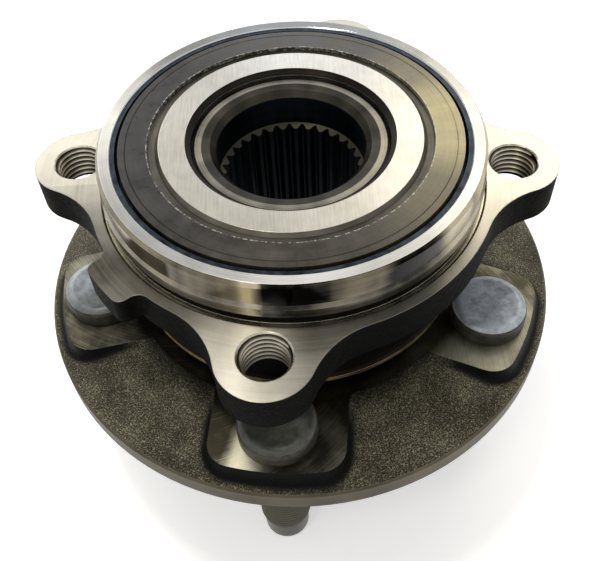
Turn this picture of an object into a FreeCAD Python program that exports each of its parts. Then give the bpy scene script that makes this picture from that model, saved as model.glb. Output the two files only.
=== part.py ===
import FreeCAD, Part
import Sketcher
import math
import os

# Wheel hub bearing unit for a driven axle. Heights are measured along the turning axis from the
# face that the wheel bolts to, and rise towards the vehicle, which is called inboard here.

# Driving sizes, in millimetres and degrees
driving = {
    # hub flange and its wheel side
    "flangeMargin": 15.0,         # stud circle to the outside of the round flange
    "flangeEdge": 6.6,            # height of the flange's upper edge at its rim
    "flangeEdgeChamfer": 0.6,     # break on the upper edge
    "flangeWheelChamfer": 1.0,    # break on the wheel side's edge
    "padHeight": 10.8,            # turned face that the stud heads seat on
    "padRootInset": 8.0,          # stud circle to where the cone reaches the turned face
    "padMargin": 11.2,            # stud circle to the outer edge of a stud pad
    "padHalfWidth": 16.7,
    "padCorner": 6.5,             # rounding of a pad's outer corners
    "padDraft": 15.0,             # slope of a pad's forged sides
    "padFootSink": 0.7,           # how far the pads reach below the flange's upper edge
    "discPilotStep": 0.1,         # disc pilot beyond the spigot
    "discPilotHeight": 6.0,
    "spigotWall": 6.05,           # cup's mouth to the spigot that centres the wheel
    "spigotHeight": 14.0,
    "spigotChamfer": 1.5,
    "spigotGroove": 1.5,          # relief at the spigot's foot
    "cupTaper": 3.0,              # how much wider the axle nut's hollow is at its mouth
    "nutSeatWidth": 3.94,
    "cupFloor": 3.0,              # height of the nut's seat
    "cupCorner": 1.2,
    # wheel studs
    "studCount": 5,
    "headGap": 0.75,              # stud heads to the outer ring's end land
    "studAngle": -97.8,           # first stud, from the X axis
    "studRadius": 7.0,
    "knurlHeight": 0.2,           # pressed length in the flange stands out from the shank
    "studReach": 42.0,            # stud's end below the wheel face
    "noseStep": 0.85,             # shank to the plain guide end
    "noseLength": 7.5,
    "noseBevel": 1.6,
    "studHeadRadius": 9.75,
    "studHeadHeight": 5.5,
    "studHeadBevel": 0.9,
    # balls, cages and raceways
    "ballCount": 14,
    "ballRadius": 5.556,
    "raceGap": 0.08,              # running clearance round a ball
    "shoulderHeight": 4.1,        # loaded shoulder above the raceway's floor
    "innerLip": 0.95,             # low side of an inner raceway
    "outerLip": 0.35,             # low side of an outer raceway
    "pocketGap": 0.18,            # clearance between a ball and its pocket
    "cageGap": 0.536,             # outer ring's shoulder to the cage's outside
    "cageDepth": 3.6,             # cage's outside to its inside
    "cageWall": 1.3,              # closed side of the cage beyond the balls
    "cageGrip": 2.6,              # fingers beyond the balls' centres
    "cageChamfer": 0.4,
    "cageSpace": 1.6,             # between the two cages
    "rowClearance": 1.15,         # between a ball row and its seal's seat
    # outer ring
    "ringGap": 3.4,               # turned face of the flange to the outer ring's end
    "outboardSealDepth": 6.0,
    "outboardSeatRise": 0.364,    # raceway's floor to the seal's seat
    "inboardSealDepth": 7.7,
    "inboardSeatRise": 3.464,
    "seatChamfer": 0.3,
    "rimFall": 0.7,               # pilot to the outer edge of the rim's end face
    "pilotWall": 3.4,             # seal's seat to the upper length of the knuckle pilot
    "pilotChamfer": 0.9,
    "pilotLength": 6.2,           # rim to the end of the upper length
    "pilotStep": 1.2,             # sloping step between the two lengths
    "pilotFootRise": 0.5,         # foot of the pilot beyond its upper length
    "pilotFootLength": 2.4,
    "undercutFall": 0.8,          # undercut below the pilot's foot
    "undercutDepth": 0.4,         # below the mounting face
    "undercutMargin": 0.7,        # pilot's foot to the undercut's outer edge
    "undercutLength": 2.6,        # pilot's foot to the mounting face
    "earThickness": 10.0,
    "earRingBand": 2.6,           # undercut to the round part of the mounting flange
    "earSink": 1.6,               # how far ears and tab reach into the round part
    "barrelWall": 3.664,          # raceway's floor to the forged barrel
    "barrelFillet": 3.0,
    "endLandRise": 0.3,           # turned land at the outboard end, beyond the barrel
    "endLandLength": 2.4,
    "endChamfer": 0.7,
    "endGrooveFall": 0.5,
    "endGrooveLength": 2.8,
    # mounting ears
    "earRise": 4.8,               # round part to the circle through the threaded holes
    "earEndRadius": 11.1,
    "earFlare": 21.0,             # hollow curve from an ear into the ring
    "earHoleRadius": 5.9,
    "earHoleChamfer": 0.35,
    "frontEarAngle": -98.7,
    "rightEarAngle": -1.0,
    "rearEarAngle": 73.5,
    "leftEarAngle": 171.2,
    "tabAngle": -143.7,
    "tabRise": 5.6,
    "tabHalfWidth": 7.2,
    "tabThickness": 7.5,
    "tabCorner": 2.4,
    "tabRoot": 3.0,
    # inner ring and spindle
    "innerRingWall": 4.264,       # spindle to the raceway's floor
    "ringBoreChamfer": 1.2,
    "ringFaceStep": 0.864,        # land to the outer edge of the inner ring's ground face
    "ringFaceChamfer": 1.0,
    "ringFootChamfer": 0.5,
    "spindleRecess": 2.0,         # spindle's end below the inner ring's face
    "spindleChamfer": 0.94,
    "spindleFaceWidth": 1.56,
    "leadInSlope": 2.0,           # spindle's end face to the lead-in
    "leadInEdge": 0.2,            # fall of the end face before the lead-in
    "leadInDepth": 1.8,           # spindle's end to the foot of the lead-in
    "leadInWidth": 1.4,
    "shaftBoreDepth": 9.8,        # spindle's end to the start of the spline
    "seatReliefDepth": 0.3,
    "seatReliefLength": 1.6,
    "neckFillet": 3.0,
    # spline
    "splineTeeth": 32,
    "splineTipRadius": 16.56,
    "splineDepth": 1.14,
    "boreRelief": 0.4,            # spline's roots to the plain bore
    "splineMouth": 2.25,          # width of a tooth space at the tips
    "splineFloor": 0.45,          # width of a tooth space at the roots
    "splineChamfer": 0.9,
    # inboard seal
    "caseRim": 0.4,               # seal case's edge below the rim
    "caseSleeve": 1.1,
    "sealSheet": 0.8,             # pressed sheet of both seal cases
    "caseLegLength": 3.7,         # outboard seal's seat to the inside of both cases' radial legs
    "slingerSheet": 0.7,
    "slingerFoot": 0.6,           # seal seat's floor to the slinger's lower edge
    "encoderInset": 1.136,        # slinger's sleeve to the encoder
    "encoderGap": 0.8,            # seal case to the encoder
    "encoderThickness": 0.9,
    "encoderRecess": 0.1,         # encoder's face below the rim
    "encoderWrap": 0.3,           # rubber round the slinger's edge
    "encoderGrooveInset": 1.7,    # encoder's edge to its groove
    "encoderGrooveDepth": 0.15,
    "lipGap": 0.15,               # between a seal lip and what it runs on
    "lipThickness": 0.5,
    "lipBase": 1.1,               # rubber bonded round a case's leg
    # outboard seal
    "endCoverInset": 1.1,         # end land to the fold of the case over the ring's end
}

doc = FreeCAD.newDocument("wheel_hub_bearing")
sheet = doc.addObject("Spreadsheet::Sheet", "Sizes")
for row, (name, value) in enumerate(driving.items(), start=1):
    sheet.set("A%d" % row, name)
    sheet.set("B%d" % row, str(value))
    sheet.setAlias("B%d" % row, name)
doc.recompute()


class Size:
    # A length or angle that knows both its value and the expression that binds it to the sheet
    def __init__(self, value, text):
        self.value = value
        self.text = text

    def joined(self, other, sign, value):
        return Size(value, "(%s %s %s)" % (self.text, sign, other.text))

    def __add__(self, other):
        return self.joined(other, "+", self.value + other.value)

    def __sub__(self, other):
        return self.joined(other, "-", self.value - other.value)

    def __mul__(self, other):
        return self.joined(other, "*", self.value * other.value)

    def __truediv__(self, other):
        return self.joined(other, "/", self.value / other.value)

    def __rmul__(self, factor):
        return Size(factor * self.value, "(%s * %s)" % (factor, self.text))

    def __neg__(self):
        return Size(-self.value, "(0 - %s)" % self.text)

    def leg(self, other):
        # Remaining leg of a right triangle whose hypotenuse is this size
        value = math.sqrt(self.value ** 2 - other.value ** 2)
        return Size(value, "sqrt(%s ^ 2 - %s ^ 2)" % (self.text, other.text))


def size(name):
    return Size(float(driving[name]), "Sizes." + name)


zero = Size(0.0, "0")

# Radii that follow from the driving sizes, from the spline outwards
splineTip = size("splineTipRadius")
splineRoot = splineTip + size("splineDepth")
shaftBore = splineRoot + size("boreRelief")
leadIn = shaftBore + size("leadInWidth")
spindleFace = leadIn + size("leadInSlope")
seatRadius = spindleFace + size("spindleFaceWidth") + size("spindleChamfer")
innerFloor = seatRadius + size("innerRingWall")
ballPitch = innerFloor + size("raceGap") + size("ballRadius")
outerFloor = ballPitch + size("ballRadius") + size("raceGap")
landRadius = innerFloor + size("shoulderHeight")
innerLipRadius = innerFloor + size("innerLip")
outerShoulder = outerFloor - size("shoulderHeight")
outerLipRadius = outerFloor - size("outerLip")
ringFace = landRadius - size("ringFaceStep")
slingerSleeve = landRadius + size("slingerSheet")
outboardSealSeat = outerFloor + size("outboardSeatRise")
caseLeg = outboardSealSeat - size("caseLegLength")
inboardSealSeat = outerFloor + size("inboardSeatRise")
encoderInner = slingerSleeve + size("encoderInset")
encoderOuter = inboardSealSeat - size("caseSleeve") - size("encoderGap")
encoderGroove = encoderOuter - size("encoderGrooveInset")
slingerEdge = encoderOuter - size("encoderWrap")
pilotRadius = inboardSealSeat + size("pilotWall")
rimEdge = pilotRadius - size("rimFall")
pilotFoot = pilotRadius + size("pilotFootRise")
undercut = pilotFoot - size("undercutFall")
undercutEdge = pilotFoot + size("undercutMargin")
earRing = undercutEdge + size("earRingBand")
roundRoot = earRing - size("earSink")
earCircle = earRing + size("earRise")
barrelRadius = outerFloor + size("barrelWall")
endLand = barrelRadius + size("endLandRise")
endGroove = barrelRadius - size("endGrooveFall")
studCircle = endLand + size("headGap") + size("studHeadRadius")
flangeRadius = studCircle + size("flangeMargin")
knurlRadius = size("studRadius") + size("knurlHeight")
noseRadius = size("studRadius") - size("noseStep")
cupFloorRadius = splineTip + size("splineChamfer") + size("nutSeatWidth") + size("cupCorner")
cupMouth = cupFloorRadius + size("cupTaper")
spigotRadius = cupMouth + size("spigotWall")

# Heights that follow from the driving sizes, from the flange upwards
turnedFace = size("padHeight")
ringEnd = turnedFace + size("ringGap")
outboardSeatFloor = ringEnd + size("outboardSealDepth")
outboardRow = outboardSeatFloor + size("rowClearance") + size("ballRadius")
cageReach = size("ballRadius") + size("cageWall")
inboardRow = outboardRow + 2 * cageReach + size("cageSpace")
ringSplit = outboardRow + cageReach + 0.5 * size("cageSpace")
inboardSeatFloor = inboardRow + size("ballRadius") + size("rowClearance")
rim = inboardSeatFloor + size("inboardSealDepth")
pilotStepTop = rim - size("pilotLength")
pilotFootTop = pilotStepTop - size("pilotStep")
pilotFootEnd = pilotFootTop - size("pilotFootLength")
mountingFace = pilotFootEnd - size("undercutLength")
earUnderside = mountingFace - size("earThickness")
spindleEnd = rim - size("spindleRecess")
splineTop = spindleEnd - size("shaftBoreDepth")
slingerFace = rim - size("encoderRecess") - size("encoderThickness")


def origin_feature(body, role):
    for feature in body.Origin.OriginFeatures:
        if feature.Role == role:
            return feature


def new_body(label):
    body = doc.addObject("PartDesign::Body", label)
    body.Label = label
    return body


def new_sketch(body, name, role, height=zero, angle=zero):
    sketch = body.newObject("Sketcher::SketchObject", name)
    sketch.AttachmentSupport = (origin_feature(body, role), [""])
    sketch.MapMode = "FlatFace"
    if angle is not zero:
        turn = FreeCAD.Rotation(FreeCAD.Vector(0, 0, 1), angle.value)
        sketch.AttachmentOffset = FreeCAD.Placement(FreeCAD.Vector(), turn)
        sketch.setExpression("AttachmentOffset.Rotation.Angle", angle.text + " * 1 deg")
    if height is not zero:
        sketch.setExpression("AttachmentOffset.Base.z", height.text)
    return sketch


def bind(sketch, kind, targets, length):
    # A dimension that follows its expression
    index = sketch.addConstraint(Sketcher.Constraint(kind, *targets, length.value))
    sketch.setExpression("Constraints[%d]" % index, length.text)


def place_point(sketch, geometry, point, across, up):
    # Holds a point at two distances from the sketch's origin, on either side of it
    for kind, axis, length in (("DistanceX", -2, across), ("DistanceY", -1, up)):
        if length is zero:
            sketch.addConstraint(Sketcher.Constraint("PointOnObject", geometry, point, axis))
        elif length.value > 0:
            bind(sketch, kind, (-1, 1, geometry, point), length)
        else:
            bind(sketch, kind, (geometry, point, -1, 1), -length)


def outline(sketch, corners, arcs=None):
    # Closed outline through the corners. arcs gives, for a corner's number, the radius of the arc
    # from it to the next corner, and whether the arc bulges to the left of its way.
    arcs = arcs or {}
    ends = []
    for index, corner in enumerate(corners):
        following = corners[(index + 1) % len(corners)]
        start = FreeCAD.Vector(corner[0].value, corner[1].value, 0)
        end = FreeCAD.Vector(following[0].value, following[1].value, 0)
        if index not in arcs:
            sketch.addGeometry(Part.LineSegment(start, end), False)
            ends.append((1, 2))
            continue
        radius, bulges_left = arcs[index]
        way = end - start
        rise = radius.value - math.sqrt(radius.value ** 2 - (way.Length / 2) ** 2)
        left = FreeCAD.Vector(-way.y, way.x, 0).normalize()
        middle = (start + end) * 0.5 + left * (rise if bulges_left else -rise)
        sketch.addGeometry(Part.Arc(start, middle, end), False)
        ends.append((2, 1) if bulges_left else (1, 2))
    for index, corner in enumerate(corners):
        following = (index + 1) % len(corners)
        sketch.addConstraint(Sketcher.Constraint("Coincident", index, ends[index][1],
                                                 following, ends[following][0]))
        place_point(sketch, index, ends[index][0], *corner)
        if index in arcs:
            bind(sketch, "Radius", (index,), arcs[index][0])


def turned(label, corners, arcs=None):
    # A body turned about the Z axis from corners given as radius and height
    body = new_body(label)
    sketch = new_sketch(body, label + "_profile", "XZ_Plane")
    outline(sketch, corners, arcs)
    turning = body.newObject("PartDesign::Revolution", label + "_turning")
    turning.Profile = sketch
    turning.ReferenceAxis = (sketch, ["V_Axis"])
    turning.Angle = 360
    doc.recompute()
    return body


def check_removed(body, before):
    doc.recompute()
    if body.Shape.Volume > before - 1:
        raise RuntimeError(body.Label + ": a cut removed nothing")


def circle(sketch, across, up, radius):
    centre = FreeCAD.Vector(across.value, up.value, 0)
    upright = FreeCAD.Vector(0, 0, 1)
    index = sketch.addGeometry(Part.Circle(centre, upright, radius.value), False)
    place_point(sketch, index, 3, across, up)
    bind(sketch, "Radius", (index,), radius)


def cut_raceway(body, name, row):
    before = body.Shape.Volume
    sketch = new_sketch(body, name + "_circle", "XZ_Plane")
    circle(sketch, ballPitch, row, size("ballRadius") + size("raceGap"))
    groove = body.newObject("PartDesign::Groove", name)
    groove.Profile = sketch
    groove.ReferenceAxis = (sketch, ["V_Axis"])
    groove.Angle = 360
    check_removed(body, before)


def raised(body, name, sketch, length):
    # Fills downwards from the sketch's plane
    pad = body.newObject("PartDesign::Pad", name)
    pad.Profile = sketch
    pad.Reversed = True
    pad.setExpression("Length", length.text)
    return pad


def cut_through(body, name, sketch):
    # Cuts downwards from the sketch's plane, through everything
    before = body.Shape.Volume
    pocket = body.newObject("PartDesign::Pocket", name)
    pocket.Profile = sketch
    pocket.Type = "ThroughAll"
    check_removed(body, before)
    return pocket


def repeated(body, name, originals, count):
    pattern = body.newObject("PartDesign::PolarPattern", name)
    pattern.Originals = originals
    pattern.Axis = (origin_feature(body, "Z_Axis"), [""])
    pattern.Angle = 360
    pattern.setExpression("Occurrences", count.text)
    body.Tip = pattern
    doc.recompute()


def mirrored(point):
    return point[0], -point[1]


def scaled(point, factor):
    return point[0] * factor, point[1] * factor


def outer_corner(reach, half, radius):
    # Where a rounded corner leaves a straight side and meets an edge concentric with the axis
    centre = ((reach - radius).leg(half - radius), half - radius)
    return (centre[0], half), scaled(centre, reach / (reach - radius))


def root_curve(ring, half, radius):
    # Where a hollow curve leaves a round ring and meets a straight side
    centre = ((ring + radius).leg(half + radius), half + radius)
    return scaled(centre, ring / (ring + radius)), (centre[0], half)


# Hub spindle: flange, stud pads, wheel spigot, raceway of the outboard row and splined bore
def hub_spindle():
    relief = seatRadius - size("seatReliefDepth")
    discPilot = spigotRadius + size("discPilotStep")
    grooveDepth = 0.5 * size("spigotGroove")
    corners = [
        (splineTip, size("cupFloor") + size("splineChamfer")),
        (splineTip, splineTop - size("splineChamfer")),
        (shaftBore, splineTop),
        (shaftBore, spindleEnd - size("leadInDepth")),
        (leadIn, spindleEnd - size("leadInEdge")),
        (spindleFace, spindleEnd),
        (seatRadius - size("spindleChamfer"), spindleEnd),
        (seatRadius, spindleEnd - size("spindleChamfer")),
        (seatRadius, ringSplit + size("seatReliefLength")),
        (relief, ringSplit + size("seatReliefLength") - size("seatReliefDepth")),
        (relief, ringSplit),
        (innerLipRadius, ringSplit),
        (innerLipRadius, outboardRow),
        (landRadius, outboardRow),
        (landRadius, turnedFace + size("neckFillet")),
        (landRadius + size("neckFillet"), turnedFace),
        (studCircle - size("padRootInset"), turnedFace),
        (flangeRadius - size("flangeEdgeChamfer"), size("flangeEdge")),
        (flangeRadius, size("flangeEdge") - size("flangeEdgeChamfer")),
        (flangeRadius, size("flangeWheelChamfer")),
        (flangeRadius - size("flangeWheelChamfer"), zero),
        (discPilot + size("spigotGroove"), zero),
        (discPilot + size("spigotGroove") - grooveDepth, grooveDepth),
        (discPilot, grooveDepth),
        (discPilot, -size("discPilotHeight")),
        (spigotRadius, -size("discPilotStep") - size("discPilotHeight")),
        (spigotRadius, size("spigotChamfer") - size("spigotHeight")),
        (spigotRadius - size("spigotChamfer"), -size("spigotHeight")),
        (cupMouth, -size("spigotHeight")),
        (cupFloorRadius, size("cupFloor") - size("cupCorner")),
        (cupFloorRadius - size("cupCorner"), size("cupFloor")),
        (splineTip + size("splineChamfer"), size("cupFloor")),
    ]
    body = turned("hub_spindle", corners, arcs={14: (size("neckFillet"), False)})
    cut_raceway(body, "outboard_inner_raceway", outboardRow)

    sketch = new_sketch(body, "stud_pad_outline", "XY_Plane", turnedFace, size("studAngle"))
    half, inner = size("padHalfWidth"), landRadius + size("neckFillet")
    side, tip = outer_corner(studCircle + size("padMargin"), half, size("padCorner"))
    outline(sketch, [(inner, -half), mirrored(side), mirrored(tip), tip, side, (inner, half)],
            arcs={1: (size("padCorner"), False), 2: (studCircle + size("padMargin"), False),
                  3: (size("padCorner"), False)})
    foot = turnedFace - size("flangeEdge") + size("padFootSink")
    pad = raised(body, "stud_pad", sketch, foot)
    pad.setExpression("TaperAngle", size("padDraft").text + " * 1 deg")
    doc.recompute()
    repeated(body, "stud_pads", [pad], size("studCount"))

    sketch = new_sketch(body, "stud_hole_circle", "XY_Plane", turnedFace, size("studAngle"))
    circle(sketch, studCircle, zero, knurlRadius)
    hole = cut_through(body, "stud_hole", sketch)
    repeated(body, "stud_holes", [hole], size("studCount"))

    sketch = new_sketch(body, "spline_space_outline", "XY_Plane", splineTop)
    # The sides run on into the bore, so that no sliver stays at the tips
    inside, overrun = splineTip - size("boreRelief"), size("boreRelief") / size("splineDepth")
    mouth, floor = 0.5 * size("splineMouth"), 0.5 * size("splineFloor")
    mouth = mouth + (mouth - floor) * overrun
    outline(sketch, [(inside, -mouth), (splineRoot, -floor),
                     (splineRoot, floor), (inside, mouth)])
    space = cut_through(body, "spline_space", sketch)
    repeated(body, "spline", [space], size("splineTeeth"))


# Inner ring of the inboard row, pressed on the spindle against its shoulder
def inner_ring():
    chamfer, foot = size("ringBoreChamfer"), size("ringFootChamfer")
    corners = [
        (seatRadius + foot, ringSplit),
        (innerLipRadius - foot, ringSplit),
        (innerLipRadius, ringSplit + foot),
        (innerLipRadius, inboardRow),
        (landRadius, inboardRow),
        (landRadius, rim - size("ringFaceChamfer")),
        (ringFace, rim),
        (seatRadius + chamfer, rim),
        (seatRadius, rim - chamfer),
        (seatRadius, ringSplit + foot),
    ]
    body = turned("inner_ring", corners)
    cut_raceway(body, "inboard_inner_raceway", inboardRow)


# Mounting ear: a round end about its threaded hole, flared into the ring by hollow curves
def mounting_ear(body, name, angle):
    sketch = new_sketch(body, name + "_outline", "XY_Plane", mountingFace, angle)
    ring, flare, end = earRing, size("earFlare"), size("earEndRadius")
    toRing, toEar, away = ring + flare, end + flare, earCircle
    across = 0.5 * (toRing * toRing - toEar * toEar + away * away) / away
    centre = (across, toRing.leg(across))
    onRing = scaled(centre, ring / toRing)
    onEar = (away + (centre[0] - away) * (end / toEar), centre[1] * (end / toEar))
    inside = scaled(centre, roundRoot / toRing)
    outline(sketch, [mirrored(inside), mirrored(onRing), mirrored(onEar), onEar, onRing, inside],
            arcs={1: (flare, True), 2: (end, False), 3: (flare, True), 5: (roundRoot, True)})
    raised(body, name, sketch, size("earThickness"))
    doc.recompute()

    sketch = new_sketch(body, name + "_hole_circle", "XY_Plane", mountingFace, angle)
    circle(sketch, away, zero, size("earHoleRadius"))
    doc.recompute()
    before = body.Shape.Volume
    hole = body.newObject("PartDesign::Hole", name + "_hole")
    hole.Profile = sketch
    hole.DepthType = "ThroughAll"
    hole.HoleCutType = "Countersink"
    hole.HoleCutCountersinkAngle = 90
    hole.setExpression("Diameter", (2 * size("earHoleRadius")).text)
    mouth = size("earHoleRadius") + size("earHoleChamfer")
    hole.setExpression("HoleCutDiameter", (2 * mouth).text)
    check_removed(body, before)


# Locating tab between two of the ears
def locating_tab(body):
    sketch = new_sketch(body, "locating_tab_outline", "XY_Plane", mountingFace, size("tabAngle"))
    half, reach = size("tabHalfWidth"), earRing + size("tabRise")
    side, tip = outer_corner(reach, half, size("tabCorner"))
    onRing, foot = root_curve(earRing, half, size("tabRoot"))
    inside = scaled(onRing, roundRoot / earRing)
    lower = [mirrored(inside), mirrored(onRing), mirrored(foot), mirrored(side), mirrored(tip)]
    outline(sketch, lower + [tip, side, foot, onRing, inside],
            arcs={1: (size("tabRoot"), True), 3: (size("tabCorner"), False), 4: (reach, False),
                  5: (size("tabCorner"), False), 7: (size("tabRoot"), True),
                  9: (roundRoot, True)})
    raised(body, "locating_tab", sketch, size("tabThickness"))
    doc.recompute()


# Outer ring: both outer raceways, seal seats, knuckle pilot and the flange with its ears
def outer_ring():
    landTop = ringEnd + size("endLandLength")
    grooveTop = landTop + size("endGrooveLength")
    filletFoot = barrelRadius + size("barrelFillet")
    landStep = endLand - endGroove
    corners = [
        (outboardSealSeat, ringEnd),
        (outboardSealSeat, outboardSeatFloor),
        (outerLipRadius, outboardSeatFloor),
        (outerLipRadius, outboardRow),
        (outerShoulder, outboardRow),
        (outerShoulder, inboardRow),
        (outerLipRadius, inboardRow),
        (outerLipRadius, inboardSeatFloor),
        (inboardSealSeat, inboardSeatFloor),
        (inboardSealSeat, rim - size("seatChamfer")),
        (inboardSealSeat + size("seatChamfer"), rim),
        (rimEdge, rim),
        (pilotRadius, rim - size("pilotChamfer")),
        (pilotRadius, pilotStepTop),
        (pilotFoot, pilotFootTop),
        (pilotFoot, pilotFootEnd),
        (undercut, pilotFootEnd - size("undercutFall")),
        (undercut, mountingFace - size("undercutDepth")),
        (undercutEdge - size("undercutDepth"), mountingFace - size("undercutDepth")),
        (undercutEdge, mountingFace),
        (earRing, mountingFace),
        (earRing, earUnderside),
        (filletFoot, earUnderside),
        (barrelRadius, earUnderside - size("barrelFillet")),
        (barrelRadius, grooveTop),
        (endGroove, grooveTop - size("endGrooveFall")),
        (endGroove, landTop),
        (endLand, landTop - 0.5 * landStep),
        (endLand, ringEnd + size("endChamfer")),
        (endLand - size("endChamfer"), ringEnd),
    ]
    body = turned("outer_ring", corners, arcs={22: (size("barrelFillet"), True)})
    cut_raceway(body, "outboard_outer_raceway", outboardRow)
    cut_raceway(body, "inboard_outer_raceway", inboardRow)
    for place in ("front", "right", "rear", "left"):
        mounting_ear(body, place + "_ear", size(place + "EarAngle"))
    locating_tab(body)


# Snap cage: a closed ring on the side of the bearing's middle, with fingers that grip the balls
def snap_cage(label, row, closed_below):
    side = 1 if closed_below else -1
    closed, open_end = row - side * cageReach, row + side * size("cageGrip")
    outside = outerShoulder - size("cageGap")
    inside = outside - size("cageDepth")
    chamfer = size("cageChamfer")
    body = turned(label, [
        (inside + chamfer, closed),
        (outside - chamfer, closed),
        (outside, closed + side * chamfer),
        (outside, open_end),
        (inside, open_end),
        (inside, closed + side * chamfer),
    ])
    before = body.Shape.Volume
    pocket = body.newObject("PartDesign::SubtractiveSphere", label + "_pocket")
    pocket.setExpression("Radius", (size("ballRadius") + size("pocketGap")).text)
    pocket.setExpression("Placement.Base.x", ballPitch.text)
    pocket.setExpression("Placement.Base.z", row.text)
    check_removed(body, before)
    repeated(body, label + "_pockets", [pocket], size("ballCount"))


def ball_row(side, row):
    for number in range(1, driving["ballCount"] + 1):
        ball = doc.addObject("Part::Sphere", "%s_ball_%02d" % (side, number))
        ball.Label = "%s_ball_%02d" % (side, number)
        turn = "(%d * 360 deg / Sizes.ballCount)" % (number - 1)
        ball.setExpression("Radius", "Sizes.ballRadius")
        ball.setExpression("Placement.Base.x", "%s * cos%s" % (ballPitch.text, turn))
        ball.setExpression("Placement.Base.y", "%s * sin%s" % (ballPitch.text, turn))
        ball.setExpression("Placement.Base.z", row.text)


# Wheel studs, pressed into the flange from above
def wheel_stud(number):
    tip = -size("studReach")
    noseTop = tip + size("noseLength")
    headTop = turnedFace + size("studHeadHeight")
    body = turned("wheel_stud_%d" % number, [
        (zero, tip),
        (noseRadius - size("noseBevel"), tip),
        (noseRadius, tip + size("noseBevel")),
        (noseRadius, noseTop),
        (size("studRadius"), noseTop + size("noseStep")),
        (size("studRadius"), zero),
        (knurlRadius, zero),
        (knurlRadius, turnedFace),
        (size("studHeadRadius"), turnedFace),
        (size("studHeadRadius"), headTop - size("studHeadBevel")),
        (size("studHeadRadius") - size("studHeadBevel"), headTop),
        (zero, headTop),
    ])
    turn = "(Sizes.studAngle * 1 deg + %d * 360 deg / Sizes.studCount)" % (number - 1)
    body.setExpression("Placement.Base.x", "%s * cos%s" % (studCircle.text, turn))
    body.setExpression("Placement.Base.y", "%s * sin%s" % (studCircle.text, turn))


# Cassette seal at the inboard end: case and lips stand still, slinger and encoder turn
def inboard_seal():
    seat, sheetWall = inboardSealSeat, size("sealSheet")
    floor, leg = inboardSeatFloor, caseLeg
    caseTop, legTop = rim - size("caseRim"), inboardSeatFloor + size("sealSheet")
    sleeve = seat - size("caseSleeve")
    turned("inboard_seal_case", [
        (leg, floor),
        (seat, floor),
        (seat, caseTop),
        (sleeve, caseTop),
        (sleeve, legTop),
        (leg, legTop),
    ])
    base, lip = size("lipBase"), size("lipThickness")
    run = slingerSleeve + size("lipGap")
    under = slingerFace - size("slingerSheet") - size("lipGap")
    footing = legTop + sheetWall
    turned("inboard_seal_lip", [
        (leg, floor),
        (leg, legTop),
        (leg + 3 * base, legTop),
        (leg + 3 * base, footing),
        (leg + 2 * base + lip, footing),
        (leg + 3 * base + lip, under),
        (leg + 3 * base, under),
        (leg + base, footing),
        (leg - base, footing + sheetWall),
        (run, legTop + 3 * sheetWall),
        (run, legTop + 3 * sheetWall - lip),
        (leg - base, legTop),
        (leg - base, floor),
    ])
    turned("inboard_slinger", [
        (landRadius, floor + size("slingerFoot")),
        (slingerSleeve, floor + size("slingerFoot")),
        (slingerSleeve, slingerFace - size("slingerSheet")),
        (slingerEdge, slingerFace - size("slingerSheet")),
        (slingerEdge, slingerFace),
        (landRadius, slingerFace),
    ])
    face, grooveDepth = slingerFace + size("encoderThickness"), size("encoderGrooveDepth")
    turned("encoder_ring", [
        (encoderInner, slingerFace),
        (slingerEdge, slingerFace),
        (slingerEdge, slingerFace - size("slingerSheet")),
        (encoderOuter, slingerFace - size("slingerSheet")),
        (encoderOuter, face),
        (encoderGroove + grooveDepth, face),
        (encoderGroove, face - grooveDepth),
        (encoderGroove - grooveDepth, face),
        (encoderInner, face),
    ])


# Seal at the outboard end: its lips run on the spindle's land and on the flange's turned face
def outboard_seal():
    seat, sheetWall, leg = outboardSealSeat, size("sealSheet"), caseLeg
    legTop = outboardSeatFloor - size("lipGap")
    legUnder = legTop - sheetWall
    turned("outboard_seal_case", [
        (leg, legTop),
        (seat, legTop),
        (seat, ringEnd),
        (endLand - size("endCoverInset"), ringEnd),
        (endLand - size("endCoverInset"), ringEnd - sheetWall),
        (seat - sheetWall, ringEnd - sheetWall),
        (seat - sheetWall, legUnder),
        (leg, legUnder),
    ])
    base, lip = size("lipBase"), size("lipThickness")
    run = landRadius + size("lipGap")
    down = turnedFace + size("lipGap")
    footing = legUnder - sheetWall
    turned("outboard_seal_lip", [
        (leg, legTop),
        (leg, legUnder),
        (leg + 2 * base, legUnder),
        (leg + 2 * base, footing),
        (leg + base + lip, footing),
        (leg + 2 * base + lip, down),
        (leg + 2 * base, down),
        (leg, footing),
        (leg - base, footing - sheetWall),
        (run, footing - 2 * sheetWall),
        (run, footing - 2 * sheetWall + lip),
        (leg - base, footing + lip),
        (leg - base, legTop),
    ])


outer_ring()
hub_spindle()
inner_ring()
snap_cage("inboard_cage", inboardRow, closed_below=True)
snap_cage("outboard_cage", outboardRow, closed_below=False)
ball_row("inboard", inboardRow)
ball_row("outboard", outboardRow)
for number in range(1, driving["studCount"] + 1):
    wheel_stud(number)
inboard_seal()
outboard_seal()
doc.recompute()

# Nothing is written unless every object is sound
for item in doc.Objects:
    if "Invalid" in item.State or "Error" in item.State:
        raise RuntimeError(item.Label + " did not build")
pieces = [item for item in doc.Objects if item.TypeId in ("PartDesign::Body", "Part::Sphere")]
for piece in pieces:
    if piece.Shape.isNull() or not piece.Shape.isValid():
        raise RuntimeError(piece.Label + " has no sound shape")
os.makedirs("parts", exist_ok=True)
for piece in pieces:
    piece.Shape.exportStep("parts/%s.step" % piece.Label)
print("%d parts written" % len(pieces))
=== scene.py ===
import bpy
import bmesh
import math
from mathutils import Matrix, Vector


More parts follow.
